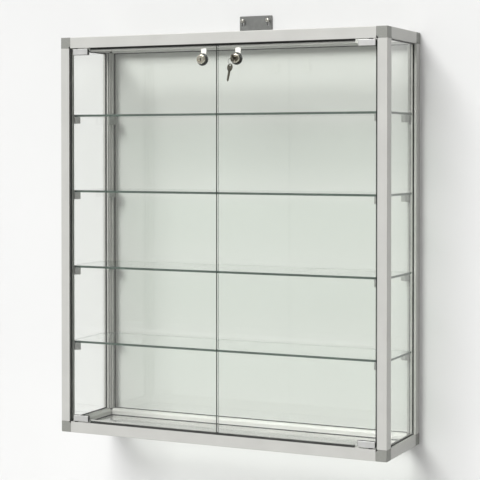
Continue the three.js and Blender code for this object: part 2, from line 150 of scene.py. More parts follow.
def add_camera():
    data = bpy.data.cameras.new("camera")
    data.lens = CAMERA_LENS
    data.sensor_width = 36
    data.shift_y = CAMERA_SHIFT
    camera = bpy.data.objects.new("camera", data)
    bpy.context.scene.collection.objects.link(camera)
    turn = Matrix.Rotation(CAMERA_YAW, 4, "Z") @ Matrix.Rotation(math.pi / 2 + CAMERA_PITCH, 4, "X")
    camera.matrix_world = Matrix.Translation(CAMERA_PLACE) @ turn
    bpy.context.scene.camera = camera


# ---- materials ----------------------------------------------------------------------------------


def new_material(name, **values):
    """A material with the values set on its Principled shader's own sockets."""
    material = bpy.data.materials.new(name)
    material.use_nodes = True
    shader = material.node_tree.nodes["Principled BSDF"]
    for socket, value in values.items():
        shader.inputs[socket.replace("_", " ")].default_value = value
    return material


def add_node(material, kind, **settings):
    node = material.node_tree.nodes.new(kind)
    for setting, value in settings.items():
        setattr(node, setting, value)
    return node


def wire(material, output, target):
    material.node_tree.links.new(output, target)


def shader_of(material):
    """Its Principled shader."""
    return material.node_tree.nodes["Principled BSDF"]


def noise(material, scale, detail=3.0, stretch=(1, 1, 1)):
    """Noise over the object's own coordinates, in features per metre."""
    place = add_node(material, "ShaderNodeTexCoord")
    mapping = add_node(material, "ShaderNodeMapping")
    mapping.inputs["Scale"].default_value = stretch
    texture = add_node(material, "ShaderNodeTexNoise")
    texture.inputs["Scale"].default_value = scale
    texture.inputs["Detail"].default_value = detail
    wire(material, place.outputs["Object"], mapping.inputs["Vector"])
    wire(material, mapping.outputs["Vector"], texture.inputs["Vector"])
    return texture.outputs["Fac"]


def vary_colour(material, field, low, high, spread=0.25):
    """The base colour runs from low to high with the field, which mostly stays round 0.5."""
    ramp = add_node(material, "ShaderNodeValToRGB")
    ramp.color_ramp.elements[0].position = 0.5 - spread
    ramp.color_ramp.elements[0].color = (*low, 1)
    ramp.color_ramp.elements[1].position = 0.5 + spread
    ramp.color_ramp.elements[1].color = (*high, 1)
    wire(material, field, ramp.inputs["Fac"])
    wire(material, ramp.outputs["Color"], shader_of(material).inputs["Base Color"])
    return ramp.outputs["Color"]


def vary_roughness(material, field, low, high):
    remap = add_node(material, "ShaderNodeMapRange")
    remap.inputs["From Min"].default_value = 0.25
    remap.inputs["From Max"].default_value = 0.75
    remap.inputs["To Min"].default_value = low
    remap.inputs["To Max"].default_value = high
    wire(material, field, remap.inputs["Value"])
    wire(material, remap.outputs["Result"], shader_of(material).inputs["Roughness"])


def add_bump(material, field, depth, strength=1.0):
    bump = add_node(material, "ShaderNodeBump")
    bump.inputs["Distance"].default_value = depth
    bump.inputs["Strength"].default_value = strength
    wire(material, field, bump.inputs["Height"])
    wire(material, bump.outputs["Normal"], shader_of(material).inputs["Normal"])


def grain_along(axis, length, across):
    """Stretch for noise whose features are long along one axis: 0 is x, 1 is y and 2 is z."""
    stretch = [across] * 3
    stretch[axis] = length
    return stretch


def profile_material(axis):
    """Silver anodised profile, with die lines along its length."""
    material = new_material(f"anodised_aluminium_{'xyz'[axis]}", Metallic=0.22)
    lines = noise(material, 1.0, 2.0, grain_along(axis, 4, 900))
    cloud = noise(material, 14.0, 3.0)
    vary_colour(material, cloud, (0.505, 0.503, 0.480), (0.555, 0.553, 0.528))
    vary_roughness(material, lines, 0.40, 0.52)
    add_bump(material, lines, 0.00004, 0.35)
    return material


def casting_material():
    material = new_material("grey_die_casting", Metallic=0.25, Roughness=0.5)
    speckle = noise(material, 900.0, 4.0)
    vary_colour(material, speckle, (0.225, 0.228, 0.210), (0.305, 0.308, 0.286))
    vary_roughness(material, noise(material, 60.0), 0.45, 0.6)
    add_bump(material, speckle, 0.00008, 0.4)
    return material


def support_material():
    material = new_material("grey_moulding", Metallic=0.0, Roughness=0.5)
    grain = noise(material, 1500.0, 3.0)
    vary_colour(material, noise(material, 90.0), (0.235, 0.24, 0.225), (0.29, 0.295, 0.28))
    vary_roughness(material, grain, 0.42, 0.6)
    add_bump(material, grain, 0.00003, 0.5)
    return material


def clamp_material():
    material = new_material("satin_clamp", Metallic=0.75)
    brushed = noise(material, 1.0, 2.0, grain_along(0, 60, 2600))
    vary_colour(material, noise(material, 50.0), (0.58, 0.58, 0.57), (0.66, 0.66, 0.65))
    vary_roughness(material, brushed, 0.30, 0.46)
    add_bump(material, brushed, 0.00003, 0.5)
    return material


def nickel_material():
    material = new_material("polished_nickel", Metallic=1.0)
    scuffs = noise(material, 700.0, 4.0)
    vary_colour(material, noise(material, 120.0), (0.58, 0.55, 0.46), (0.72, 0.69, 0.59))
    vary_roughness(material, scuffs, 0.12, 0.28)
    add_bump(material, scuffs, 0.00002, 0.3)
    return material


def cam_material():
    material = new_material("bright_zinc", Metallic=0.55)
    swirl = noise(material, 800.0, 3.0)
    vary_colour(material, noise(material, 150.0), (0.80, 0.79, 0.75), (0.90, 0.89, 0.85))
    vary_roughness(material, swirl, 0.30, 0.48)
    add_bump(material, swirl, 0.00002, 0.4)
    return material


def key_material():
    material = new_material("worn_key_nickel", Metallic=1.0)
    scratches = noise(material, 1.0, 4.0, grain_along(1, 300, 3200))
    vary_colour(material, noise(material, 260.0, 4.0), (0.10, 0.092, 0.075), (0.27, 0.255, 0.215))
    vary_roughness(material, scratches, 0.24, 0.45)
    add_bump(material, scratches, 0.00004, 0.5)
    return material


def bracket_material():
    material = new_material("coated_steel", Metallic=0.3)
    pebble = noise(material, 1800.0, 3.0)
    vary_colour(material, noise(material, 80.0, 4.0), (0.135, 0.138, 0.132), (0.182, 0.185, 0.178))
    vary_roughness(material, pebble, 0.42, 0.58)
    add_bump(material, pebble, 0.00005, 0.5)
    return material


def screw_material():
    material = new_material("zinc_plate", Metallic=1.0)
    swirl = noise(material, 900.0, 3.0)
    vary_colour(material, noise(material, 200.0), (0.50, 0.49, 0.45), (0.64, 0.63, 0.58))
    vary_roughness(material, swirl, 0.25, 0.42)
    add_bump(material, swirl, 0.00002, 0.4)
    return material


def rubber_material():
    material = new_material("black_rubber", Metallic=0.0)
    grain = noise(material, 1600.0, 3.0)
    vary_colour(material, noise(material, 40.0), (0.024, 0.025, 0.024), (0.052, 0.053, 0.050))
    vary_roughness(material, grain, 0.55, 0.75)
    add_bump(material, grain, 0.00004, 0.4)
    return material


def pad_material():
    material = new_material("clear_silicone", Metallic=0.0, IOR=1.41, Alpha=0.55)
    vary_colour(material, noise(material, 500.0), (0.62, 0.66, 0.64), (0.76, 0.80, 0.78))
    vary_roughness(material, noise(material, 900.0), 0.30, 0.45)
    return material


GLASS_IOR = 1.5
EDGE_FROM = 0.55
EDGE_ROUGHNESS = 0.38


def glass_material(name, thin_axis, clear, edge):
    """Float glass: clear through its faces and dark green where its edge shows. Lamp and diffuse
    rays pass straight through, so that what stands behind the glass is lit."""
    material = new_material(name, Roughness=0.0, IOR=GLASS_IOR, Metallic=0.0)
    tree = material.node_tree
    shader = shader_of(material)

    place = add_node(material, "ShaderNodeTexCoord")
    split = add_node(material, "ShaderNodeSeparateXYZ")
    size = add_node(material, "ShaderNodeMath", operation="ABSOLUTE")
    face = add_node(material, "ShaderNodeMath", operation="GREATER_THAN")
    face.inputs[1].default_value = EDGE_FROM
    wire(material, place.outputs["Normal"], split.inputs["Vector"])
    wire(material, split.outputs[thin_axis], size.inputs[0])
    wire(material, size.outputs["Value"], face.inputs[0])

    edge_cloud = add_node(material, "ShaderNodeValToRGB")
    edge_cloud.color_ramp.elements[0].position = 0.3
    edge_cloud.color_ramp.elements[0].color = (*edge, 1)
    edge_cloud.color_ramp.elements[1].position = 0.7
    edge_cloud.color_ramp.elements[1].color = (*(1.5 * c for c in edge), 1)
    wire(material, noise(material, 25.0), edge_cloud.inputs["Fac"])

    rough = add_node(material, "ShaderNodeMath", operation="MULTIPLY_ADD")
    rough.inputs[1].default_value = -EDGE_ROUGHNESS
    rough.inputs[2].default_value = EDGE_ROUGHNESS
    wire(material, face.outputs["Value"], rough.inputs[0])
    wire(material, rough.outputs["Value"], shader.inputs["Roughness"])

    tint = add_node(material, "ShaderNodeMix", data_type="RGBA")
    wire(material, face.outputs["Value"], tint.inputs["Factor"])
    colours = [socket for socket in tint.inputs if socket.type == "RGBA"]
    wire(material, edge_cloud.outputs["Color"], colours[0])
    colours[1].default_value = (*clear, 1)
    result = next(socket for socket in tint.outputs if socket.type == "RGBA")
    wire(material, result, shader.inputs["Base Color"])
    wire(material, face.outputs["Value"], shader.inputs["Transmission Weight"])

    rays = add_node(material, "ShaderNodeLightPath")
    passing = add_node(material, "ShaderNodeMath", operation="MAXIMUM")
    open_way = add_node(material, "ShaderNodeBsdfTransparent")
    open_way.inputs["Color"].default_value = (*clear, 1)
    mix = add_node(material, "ShaderNodeMixShader")
    wire(material, rays.outputs["Is Shadow Ray"], passing.inputs[0])
    wire(material, rays.outputs["Is Diffuse Ray"], passing.inputs[1])
    wire(material, passing.outputs["Value"], mix.inputs["Fac"])
    wire(material, shader.outputs["BSDF"], mix.inputs[1])
    wire(material, open_way.outputs["BSDF"], mix.inputs[2])
    wire(material, mix.outputs["Shader"], tree.nodes["Material Output"].inputs["Surface"])
    return material


PROFILES = [profile_material(axis) for axis in range(3)]
CASTING = casting_material()
SUPPORT = support_material()
CLAMP = clamp_material()
NICKEL = nickel_material()
CAM = cam_material()
KEY = key_material()
BRACKET = bracket_material()
SCREW = screw_material()
RUBBER = rubber_material()
PAD = pad_material()

PANEL_CLEAR = (0.966, 0.973, 0.960)
SHELF_CLEAR = (0.945, 0.965, 0.950)
DOOR_CLEAR = (0.970, 0.976, 0.967)
GLASS_EDGE = (0.034, 0.054, 0.043)
# The door glass's edge: the glass's own dark green, painted darker still as shade for the door gaps where it
# shows.
DOOR_EDGE_AND_GAP_SHADE = (0.014, 0.024, 0.019)
PANELS = [glass_material(f"panel_glass_{'xyz'[axis]}", axis, PANEL_CLEAR, GLASS_EDGE) for axis in range(3)]
SHELF_GLASS = glass_material("shelf_glass", 2, SHELF_CLEAR, GLASS_EDGE)
DOOR_GLASS = glass_material("door_glass", 1, DOOR_CLEAR, DOOR_EDGE_AND_GAP_SHADE)


# ---- carried-over CAD nodes ---------------------------------------------------------------------


def dress(node, material, bevel=0.0, segments=2):
    """Gives a CAD node its material, and breaks its sharp edges by a bevel in millimetres."""
    for place in nodes[node].material_slots:
        place.material = material
    if bevel:
        weld = nodes[node].modifiers.new("weld", "WELD")
        weld.merge_threshold = 0.005 * MM
        edges = nodes[node].modifiers.new("bevel", "BEVEL")
        edges.width = bevel * MM
        edges.segments = segments
        edges.limit_method = "ANGLE"
        edges.angle_limit = math.radians(38)
        edges.use_clamp_overlap = True


FRAME_BEVEL = 0.3
CASTING_BEVEL = 0.5
GLASS_BEVEL = 0.5


def dress_frame():
    for side in SIDES:
        for face in FACES:
            dress(f"upright_{face}_{side}", PROFILES[2], FRAME_BEVEL)
    for end in ENDS:
        for side in SIDES:
            dress(f"rail_{end}_{side}", PROFILES[1], FRAME_BEVEL)
        for face in FACES:
            dress(f"rail_{end}_{face}", PROFILES[0], FRAME_BEVEL)
            for side in SIDES:
                dress(f"corner_block_{end}_{face}_{side}", CASTING, CASTING_BEVEL)


def dress_glass():
    for side in SIDES:
        dress(f"glass_side_{side}", PANELS[0])
        dress(f"door_glass_{side}", DOOR_GLASS, GLASS_BEVEL, 1)
    dress("glass_back", PANELS[1])
    dress("glass_floor", PANELS[2])
    dress("glass_top", PANELS[2])
    for number in SHELVES:
        dress(f"shelf_{number}", SHELF_GLASS, GLASS_BEVEL, 1)


def dress_hardware():
    for number in SHELVES:
        for face in FACES:
            for side in SIDES:
                dress(f"shelf_{number}_support_{face}_{side}", SUPPORT, 0.7, 3)
    for end in ENDS:
        for side in SIDES:
            dress(f"door_clamp_{end}_{side}", CLAMP, 0.5, 3)
    dress("wall_bracket", BRACKET, 0.4, 3)


# ---- building pieces ----------------------------------------------------------------------------


def add_piece(name, shape, material, body, smooth=35, stands_for=None):
    """Makes an object of a bmesh, and has it ride on its body."""
    bmesh.ops.recalc_face_normals(shape, faces=shape.faces)
    mesh = bpy.data.meshes.new(name)
    shape.to_mesh(mesh)
    shape.free()
    mesh.materials.append(material)
    mesh.polygons.foreach_set("use_smooth", [True] * len(mesh.polygons))
    mesh.set_sharp_from_angle(angle=math.radians(smooth))
    piece = bpy.data.objects.new(name, mesh)
    bpy.context.scene.collection.objects.link(piece)
    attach(piece, body)
    if stands_for:
        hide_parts(stands_for)
    return piece


def add_rings(shape, rings, closed):
    """Joins rings of vertices with faces. An open run is capped at both ends."""
    pairs = list(zip(rings, rings[1:]))
    if closed:
        pairs.append((rings[-1], rings[0]))
    for lower, upper in pairs:
        for i in range(len(lower)):
            j = (i + 1) % len(lower)
            shape.faces.new((lower[i], lower[j], upper[j], upper[i]))
    if not closed:
        shape.faces.new(rings[0])
        shape.faces.new(rings[-1])


def extrude(shape, section, place):
    """A closed section of (u, v) points carried along the places w that place(u, v, w) takes."""
    rings = [[shape.verts.new(place(u, v, w)) for u, v in section] for w in (0.0, 1.0)]
    add_rings(shape, rings, closed=False)


def turned(shape, profile, centre, axis="Y", steps=64, closed=False):
    """Rings round an axis through the centre. Each entry of the profile is an outline and a place
    along the axis, where an outline is a radius or a function from an angle to a radius."""
    along, across, up = {
        "X": (Vector((1, 0, 0)), Vector((0, 1, 0)), Vector((0, 0, 1))),
        "Y": (Vector((0, 1, 0)), Vector((1, 0, 0)), Vector((0, 0, 1))),
        "Z": (Vector((0, 0, 1)), Vector((1, 0, 0)), Vector((0, 1, 0))),
    }[axis]
    rings = []
    for outline, place in profile:
        ring = []
        for step in range(steps):
            angle = 2 * math.pi * step / steps
            radius = outline(angle) if callable(outline) else outline
            point = across * (radius * math.cos(angle)) + up * (radius * math.sin(angle)) + along * place
            ring.append(shape.verts.new(at(*(centre + point))))
        rings.append(ring)
    add_rings(shape, rings, closed)


def hexagon(across_corners, limit=math.inf):
    """A hexagon's radius at an angle, cut back to a circle where limit is smaller."""
    flat = across_corners * math.cos(math.pi / 6)
    sector = math.pi / 3
    return lambda angle: min(flat / math.cos(angle % sector - sector / 2), limit)


def slot_outline(width, height):
    """A rectangle's radius at an angle."""
    def radius(angle):
        across = abs(math.cos(angle)) or 1e-9
        up = abs(math.sin(angle)) or 1e-9
        return min(width / 2 / across, height / 2 / up)
    return radius


def cross_outline(reach, width):
    """The radius at an angle of a cross with four equal arms."""
    def radius(angle):
        quarter = math.pi / 2
        off = abs((angle + quarter / 2) % quarter - quarter / 2)
        return min(reach, width / 2 / max(math.sin(off), 1e-9))
    return radius


def plate(name, outlines, thickness, bevel, matrix, material, body, stands_for=None):
    """A flat part with rounded edges, from closed outlines in its own plane: the first is its
    outside and the others are holes. The matrix puts it in place in cabinet millimetres."""
    curve = bpy.data.curves.new(name, "CURVE")
    curve.dimensions = "2D"
    curve.fill_mode = "BOTH"
    curve.extrude = (thickness / 2 - bevel) * MM
    curve.bevel_depth = bevel * MM
    curve.bevel_resolution = 2
    curve.offset = -bevel * MM
    for points in outlines:
        spline = curve.splines.new("POLY")
        spline.points.add(len(points) - 1)
        spline.use_cyclic_u = True
        for point, (u, v) in zip(spline.points, points):
            point.co = (u * MM, v * MM, 0, 1)
    holder = bpy.data.objects.new(name, curve)
    bpy.context.scene.collection.objects.link(holder)
    depsgraph = bpy.context.evaluated_depsgraph_get()
    mesh = bpy.data.meshes.new_from_object(holder.evaluated_get(depsgraph))
    bpy.data.objects.remove(holder)
    shape = bmesh.new()
    shape.from_mesh(mesh)
    bmesh.ops.remove_doubles(shape, verts=shape.verts, dist=0.001 * MM)
    bmesh.ops.transform(shape, matrix=to_frame(matrix) @ Matrix.Scale(1 / MM, 4), verts=shape.verts)
    return add_piece(name, shape, material, body, 35, stands_for)


def arc(centre, radius, start, end, steps):
    """Points on an arc, its two ends included."""
    u, v = centre
    angles = [start + (end - start) * step / steps for step in range(steps + 1)]
    return [(u + radius * math.cos(a), v + radius * math.sin(a)) for a in angles]


# ---- gaskets and seals --------------------------------------------------------------------------

GASKET_ROOT = 5.5
BEAD = 0.8
INNER_BEAD = {"side": 3.0, "back": 2.0}


def gasket_section(wall, glass, height):
    """A strip between the groove's wall and the glass, with a bead outside the groove that leans on
    the glass. Its points are heights above the profile and places through the glass."""
    slope = [(height * f, wall + (glass - wall) * g) for f, g in ((0.1, 0.02), (0.7, 0.2), (1, 0.55), (1, 1))]
    return [(-GASKET_ROOT, glass), (-GASKET_ROOT, wall), *slope]


def add_panel_gaskets(panel, label, thin, spans, inner_bead=BEAD):
    """Strips round both faces of a panel. thin is the axis through the glass, spans holds, for each
    of the two axes in its plane, the ends of the opening between the profiles, and inner_bead is
    the height of the strip on the cabinet's inside."""
    low, high = extent(panel)
    size = (WIDTH, DEPTH, HEIGHT)[thin]
    at_start = low[thin] < size / 2
    walls = GROOVE if at_start else (size - GROOVE[1], size - GROOVE[0])
    shape = bmesh.new()
    for wall, glass in ((walls[0], low[thin]), (walls[1], high[thin])):
        height = inner_bead if (wall > glass) == at_start else BEAD
        section = gasket_section(wall, glass, height)
        for run, across in (spans, spans[::-1]):
            trim = 0 if run is spans[0] else height
            start, end = run[1] + trim, run[2] - trim
            for edge, inward in ((across[1], 1), (across[2], -1)):
                def place(u, v, w, run=run, across=across, edge=edge, inward=inward, start=start, end=end):
                    point = [0.0, 0.0, 0.0]
                    point[thin] = v
                    point[across[0]] = edge + inward * u
                    point[run[0]] = start + (end - start) * w
                    return at(*point)
                extrude(shape, section, place)
    add_piece(f"gaskets_{label}", shape, RUBBER, "cabinet", smooth=50)


def add_gaskets():
    x_span = (0, PROFILE, WIDTH - PROFILE)
    y_span = (1, PROFILE, DEPTH - PROFILE)
    z_span = (2, PROFILE, HEIGHT - PROFILE)
    add_panel_gaskets("glass_side_left", "side_left", 0, (z_span, y_span), INNER_BEAD["side"])
    add_panel_gaskets("glass_side_right", "side_right", 0, (z_span, y_span), INNER_BEAD["side"])
    add_panel_gaskets("glass_back", "back", 1, (z_span, x_span), INNER_BEAD["back"])
    add_panel_gaskets("glass_floor", "floor", 2, (x_span, y_span))
    add_panel_gaskets("glass_top", "top", 2, (x_span, y_span))


LINE_GROOVE = (16.2, 18.8)
STRIP_DEPTH = (0.7, 2.9)


def add_slot_shade_strips():
    """Black strips, a little sunk, in the narrow slot round each side opening: painted shade, which makes the
    slot show as a dark line.
    """
    for side in SIDES:
        shape = bmesh.new()
        near, far = (in_x(side, place) for place in LINE_GROOVE)
        slack = math.copysign(0.04, far - near)
        across = (near + slack, far - slack)
        top, bottom = STRIP_DEPTH
        section = [(across[0], top), (across[1], top), (across[1], bottom), (across[0], bottom)]
        end = PROFILE + CLEAR
        for face in FACES:
            def upright(u, v, w, face=face):
                y = PROFILE - v if face == "front" else DEPTH - PROFILE + v
                return at(u, y, end + (HEIGHT - 2 * end) * w)
            extrude(shape, section, upright)
        for place in ENDS:
            def rail(u, v, w, place=place):
                return at(u, end + (DEPTH - 2 * end) * w, in_z(place, PROFILE - v))
            extrude(shape, section, rail)
        add_piece(f"slot_strips_{side}", shape, RUBBER, "cabinet")


SIDE_SEAL = {"depth": (4.4, 8.9), "thickness": 2.9}
SEAL_FRONT = 0.6
SEAL_THICKNESS = 1.0
FIN_DEPTH = (6.9, 8.8)
FIN_HEIGHT = 4.6


def add_door_seals_and_gap_shade():
    """Black seals round the door opening: a strip in each upright's rebate, and one with an upstanding fin in
    front of each stop lip.
    Their black is partly painted shade: it darkens the door gaps, which are dark with shade."""
    low, high = PROFILE + CLEAR, HEIGHT - PROFILE - CLEAR
    for side in SIDES:
        shape = bmesh.new()
        rim = 0.3
        front, back = SIDE_SEAL["depth"]
        thick = SIDE_SEAL["thickness"]
        section = [
            (0, front), (thick - rim, front), (thick, front + rim),
            (thick, back - rim), (thick - rim, back), (0, back),
        ]
        wall = PROFILE - REBATE_WIDTH + TOUCH
        extrude(shape, section, lambda u, v, w: at(in_x(side, wall + u), v, low + (high - low) * w))
        add_piece(f"door_seal_{side}", shape, RUBBER, "cabinet")
    for end in ENDS:
        shape = bmesh.new()
        tip = 0.5
        section = [
            (0, SEAL_FRONT), (SEAL_THICKNESS, SEAL_FRONT), (SEAL_THICKNESS, FIN_DEPTH[0] - 0.3),
            (SEAL_THICKNESS + 0.3, FIN_DEPTH[0]), (FIN_HEIGHT - tip, FIN_DEPTH[0]),
            (FIN_HEIGHT, FIN_DEPTH[0] + tip), (FIN_HEIGHT, FIN_DEPTH[1] - tip),
            (FIN_HEIGHT - tip, FIN_DEPTH[1]), (0, FIN_DEPTH[1]),
        ]
        length = LIP_ENDS[1] - LIP_ENDS[0]
        extrude(shape, section, lambda u, v, w: at(LIP_ENDS[0] + length * w, v, in_z(end, PROFILE + u)))
        add_piece(f"door_seal_{end}", shape, RUBBER, "cabinet")


# ---- shelf pads ---------------------------------------------------------------------------------

PAD_RADIUS = 4.0


def add_shelf_pads():
    """A clear silicone dot on each support, under the shelf."""
    for number in SHELVES:
        shape = bmesh.new()
        for face in FACES:
            for side in SIDES:
                low, high = extent(f"shelf_{number}_support_{face}_{side}")
                centre = (low + high) / 2
                top = extent(f"shelf_{number}")[0].z
                profile = [
                    (PAD_RADIUS, high.z + TOUCH), (PAD_RADIUS, top - 0.1), (PAD_RADIUS - 0.3, top - TOUCH),
                ]
                turned(shape, profile, Vector((centre.x, centre.y, 0)), "Z", 32)
        add_piece(f"shelf_pads_{number}", shape, PAD, "cabinet")


# ---- door clamps --------------------------------------------------------------------------------

SET_SCREW_RADIUS = 2.3
SET_SCREW_SOCKET = 1.2
BUSH = (2.65, 4.6, 1.9)
PAD_PAST = {"hinge": 0.4, "free": 1.4}
PIN_PAST = 12.5
SCREW_SHARES = (0.28, 0.72)


def add_clamp_parts(side, end):
    """Rubber pads between the clamp and the glass, set screws behind, and the bush for the pin."""
    low, high = extent(f"door_clamp_{end}_{side}")
    body = f"{side}_door"
    reach = {"bottom": (PROFILE + 5.2, high.z + 0.6), "top": (low.z - 0.6, HEIGHT - PROFILE - 5.2)}[end]
    shape = bmesh.new()
    for near, far in (FRONT_PAD, BACK_PAD):
        left = low.x - PAD_PAST["hinge" if side == "left" else "free"]
        right = high.x + PAD_PAST["free" if side == "left" else "hinge"]
        section = [(left, reach[0]), (right, reach[0]), (right, reach[1]), (left, reach[1])]
        extrude(shape, section, lambda u, v, w, near=near, far=far: at(u, near + (far - near) * w, v))
    add_piece(f"clamp_pads_{end}_{side}", shape, RUBBER, body)

    shape = bmesh.new()
    jaw = high.z - 5.0 if end == "bottom" else low.z + 5.0
    socket = hexagon(SET_SCREW_SOCKET)
    profile = [
        (SET_SCREW_RADIUS, high.y - 0.5), (SET_SCREW_RADIUS, high.y + 0.1),
        (SET_SCREW_RADIUS - 0.3, high.y + 0.35), (socket, high.y + 0.35), (socket, high.y - 0.3),
    ]
    for share in SCREW_SHARES:
        turned(shape, profile, Vector((low.x + (high.x - low.x) * share, 0, jaw)), "Y", 48)
    add_piece(f"clamp_screws_{end}_{side}", shape, SCREW, body)

    pin_x = in_x(side, PROFILE + PIN_PAST)
    pin_y = (DOOR_FRONT + DOOR_BACK) / 2
    inner, outer, height = BUSH
    shape = bmesh.new()
    rings = [
        (inner, in_z(end, PROFILE + TOUCH)), (outer, in_z(end, PROFILE + TOUCH)),
        (outer, in_z(end, PROFILE + height - 0.3)), (outer - 0.3, in_z(end, PROFILE + height)),
        (inner, in_z(end, PROFILE + height)),
    ]
    turned(shape, rings, Vector((pin_x, pin_y, 0)), "Z", 40, closed=True)
    add_piece(f"pivot_bush_{end}_{side}", shape, RUBBER, "cabinet")


# ---- locks --------------------------------------------------------------------------------------

THREAD_PITCH = 0.5


def lock_centre(side):
    centre = LOCK_CENTRE[side]
    return Vector((centre.x, 0, centre.z))


def add_lock_housing(side):
    """The head in front of the glass and the threaded barrel through it."""
    shoulder = DOOR_FRONT - CLEAR
    bore = PLUG_RADIUS + 0.15
    barrel = BARREL_RADIUS
    profile = [
        (bore, HEAD_FRONT + 0.35), (bore + 0.35, HEAD_FRONT), (HEAD_RADIUS - 2.1, HEAD_FRONT),
        (HEAD_RADIUS - 1.9, HEAD_FRONT + 0.15), (HEAD_RADIUS - 1.7, HEAD_FRONT + 0.15),
        (HEAD_RADIUS - 1.1, HEAD_FRONT + 0.2), (HEAD_RADIUS - 0.4, HEAD_FRONT + 0.6),
        (HEAD_RADIUS - 0.08, HEAD_FRONT + 1.2), (HEAD_RADIUS, HEAD_FRONT + 2.0),
        (HEAD_RADIUS, shoulder - 0.5), (HEAD_RADIUS - 0.3, shoulder), (barrel, shoulder),
    ]
    place = NUT_FRONT + NUT_THICKNESS
    while place < 11.0:
        profile += [(barrel, place), (barrel - 0.35, place + THREAD_PITCH / 2)]
        place += THREAD_PITCH
    profile += [(barrel - 0.4, 11.3), (bore, 11.3)]
    shape = bmesh.new()
    turned(shape, profile, lock_centre(side), steps=96, closed=True)
    add_piece(f"lock_housing_{side}", shape, NICKEL, f"{side}_door", 30, f"lock_body_{side}")


def add_lock_nut(side):
    """The hexagon nut behind the glass, and a rubber washer on each face of the glass."""
    corner = NUT_RADIUS
    back = NUT_FRONT + NUT_THICKNESS
    profile = [
        (9.3, NUT_FRONT), (hexagon(corner, 12.6), NUT_FRONT), (hexagon(corner, 13.5), NUT_FRONT + 0.5),
        (hexagon(corner, 13.5), back - 0.5), (hexagon(corner, 12.6), back), (9.3, back),
    ]
    shape = bmesh.new()
    turned(shape, profile, lock_centre(side), steps=96, closed=True)
    add_piece(f"lock_nut_{side}", shape, NICKEL, f"{side}_door", 25)

    shape = bmesh.new()
    inner = BARREL_RADIUS + 0.05
    for outer, (near, far) in ((HEAD_RADIUS + 0.25, FRONT_PAD), (NUT_RADIUS + 0.3, BACK_PAD)):
        rings = [(inner, near), (outer, near), (outer, far), (inner, far)]
        turned(shape, rings, lock_centre(side), steps=72, closed=True)
    add_piece(f"lock_washers_{side}", shape, RUBBER, f"{side}_door")


def add_lock_plug(side):
    """The turning plug with its keyway, from its face to the cam."""
    face = HEAD_FRONT + 0.5
    keyway = slot_outline(*KEYWAY)
    keyway_mouth = slot_outline(KEYWAY[0] + 0.6, KEYWAY[1] + 0.6)
    profile = [
        (PLUG_RADIUS - 1.2, CAM_FRONT + 0.4), (PLUG_RADIUS - 1.2, CAM_FRONT), (PLUG_RADIUS, CAM_FRONT - 0.02),
        (PLUG_RADIUS, face + 0.3), (PLUG_RADIUS - 0.3, face), (PLUG_RADIUS - 1.3, face),
        (PLUG_RADIUS - 1.5, face + 0.2), (PLUG_RADIUS - 1.7, face), (keyway_mouth, face),
        (keyway, face + 0.3), (keyway, face + KEYWAY_DEPTH),
    ]
    shape = bmesh.new()
    turned(shape, profile, lock_centre(side), steps=120)
    body = f"{side}_lock_plug"
    add_piece(f"lock_cylinder_{side}", shape, NICKEL, body, 30, f"lock_plug_{side}")

    neck = math.asin(CAM_WIDTH / 2 / CAM_HUB)
    half = math.asin(CAM_WIDTH / 2 / CAM_REACH)
    outline = arc((0, 0), CAM_HUB, neck, 2 * math.pi - neck, 40) + arc((0, 0), CAM_REACH, -half, half, 10)
    hole = [(3.1 * c, 3.1 * s) for c, s in ((1, 1), (-1, 1), (-1, -1), (1, -1))]
    middle = lock_centre(side) + Vector((0, CAM_FRONT + CAM_THICKNESS / 2, 0))
    upward = Matrix.Rotation(math.pi / 2, 4, "X") @ Matrix.Rotation(math.pi / 2, 4, "Z")
    place = Matrix.Translation(middle) @ upward
    plate(f"lock_cam_{side}", [outline, hole], CAM_THICKNESS - 0.05, 0.25, place, CAM, body)

    back = CAM_FRONT + CAM_THICKNESS
    shape = bmesh.new()
    profile = [
        (5.2, back + TOUCH), (5.2, back + 0.45), (hexagon(4.0, 3.7), back + 0.5),
        (hexagon(4.0, 4.0), back + 0.8), (hexagon(4.0, 4.0), back + 1.7), (hexagon(4.0, 3.6), back + 1.98),
    ]
    turned(shape, profile, lock_centre(side), steps=72)
    add_piece(f"cam_screw_{side}", shape, SCREW, body, 25)


# ---- keys ---------------------------------------------------------------------------------------

KEY_CUTS = ((2.5, 0.5), (4.0, 1.3), (5.5, 0.5), (7.0, 1.0), (8.5, 0.4), (10.0, 1.2), (11.5, 0.5))


def key_outlines(blade_length):
    """A flat key in its own plane: u runs along the blade from the shoulder and v up the bow."""
    half = KEY_HALF_BLADE
    centre = -KEY_NECK - KEY_BOW
    neck = math.asin(half / KEY_BOW)
    outside = arc((centre, 0), KEY_BOW - 0.05, neck, 2 * math.pi - neck, 48)
    outside += [(-0.4, -half), (0, -half), (blade_length - half, -half), (blade_length, 0)]
    outside += [(blade_length - along, half - depth) for along, depth in KEY_CUTS]
    outside += [(blade_length - 13, half), (-0.4, half)]
    hole = arc((centre - KEY_HOLE_OUT, 0), KEY_HOLE, 0, 2 * math.pi, 28)[:-1]
    return [outside, hole]


def add_key(name, blade_length, matrix, body, node):
    """The matrix carries the key from its own space, blade along +y in the plane x = 0."""
    stand = Matrix(((0, 0, 1, 0), (1, 0, 0, 0), (0, 1, 0, 0), (0, 0, 0, 1)))
    plate(name, key_outlines(blade_length), KEY_THICKNESS, 0.3, matrix @ stand, KEY, body, node)
    rim = bmesh.new()
    middle = -KEY_NECK - KEY_BOW
    for side in (-1, 1):
        face = side * KEY_THICKNESS / 2
        root, crest = face - side * 0.1, face + side * 0.12
        rings = [(3.4, root), (4.4, root), (4.2, crest), (3.6, crest)]
        points = []
        for radius, height in rings:
            circle = arc((middle + 1.2, 0), radius, 0, 2 * math.pi, 40)[:-1]
            points.append([rim.verts.new(matrix @ Vector((height, along, up))) for along, up in circle])
        add_rings(rim, points, closed=True)
    bmesh.ops.transform(rim, matrix=to_frame(), verts=rim.verts)
    add_piece(f"{name}_stamped_rim", rim, KEY, body)


